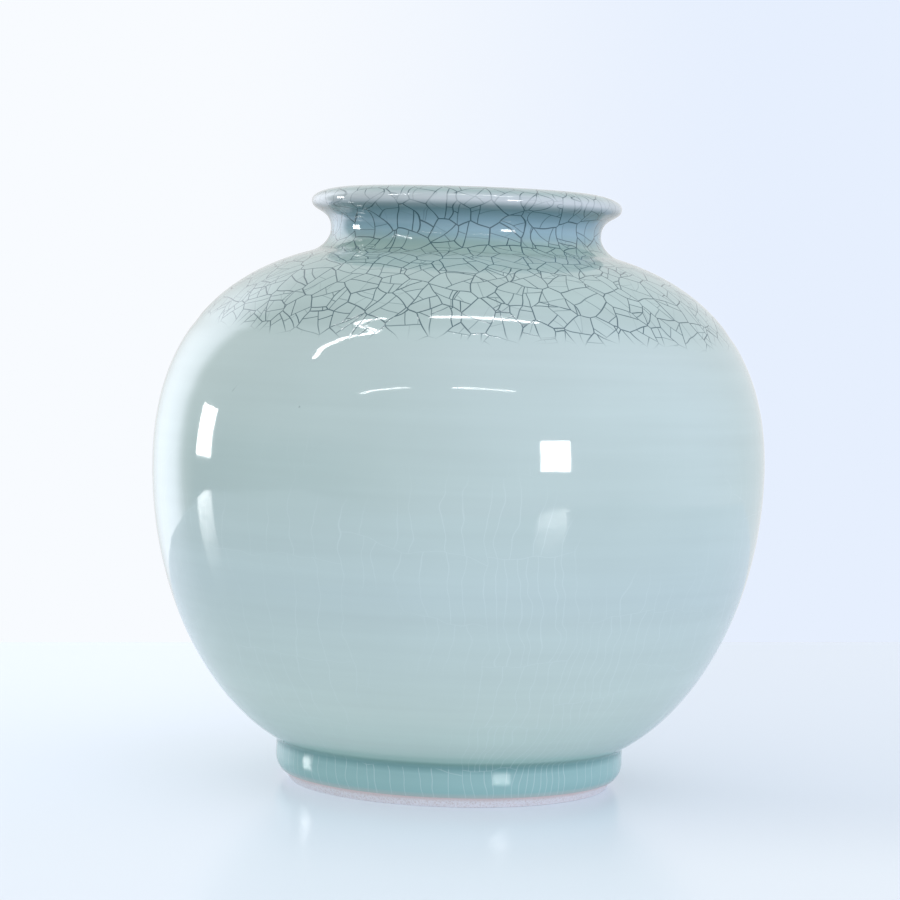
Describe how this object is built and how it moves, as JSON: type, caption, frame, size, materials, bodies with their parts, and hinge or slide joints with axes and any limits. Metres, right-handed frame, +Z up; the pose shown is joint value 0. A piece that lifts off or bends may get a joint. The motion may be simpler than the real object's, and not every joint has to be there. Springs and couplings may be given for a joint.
{
  "type": "ceramic vase",
  "caption": "Round celadon vase with a waisted neck, a flared rolled lip, dark crackle glaze on the shoulder and a low turned foot ring.",
  "frame": {"origin": "centre of the circle that the foot ring stands on", "axes": "+Z up along the axis that the vase was thrown about"},
  "size_m": [0.2272, 0.2272, 0.22],
  "materials": {
    "stoneware": "fired pale stoneware, bare and matt where the foot stands",
    "celadon_glaze": "glossy pale blue-green celadon with faint pale crazing",
    "crackle_glaze": "glossy celadon crazed into small cells, the cracks stained dark grey"
  },
  "bodies": {
    "root": {"foot_ring": "stoneware", "lower_bowl": "stoneware", "upper_bowl": "stoneware", "neck_and_lip": "stoneware", "belly_glaze": "celadon_glaze", "crackle_glaze": "crackle_glaze", "inner_glaze": "celadon_glaze", "recess_glaze": "celadon_glaze"}
  },
  "joints": []
}
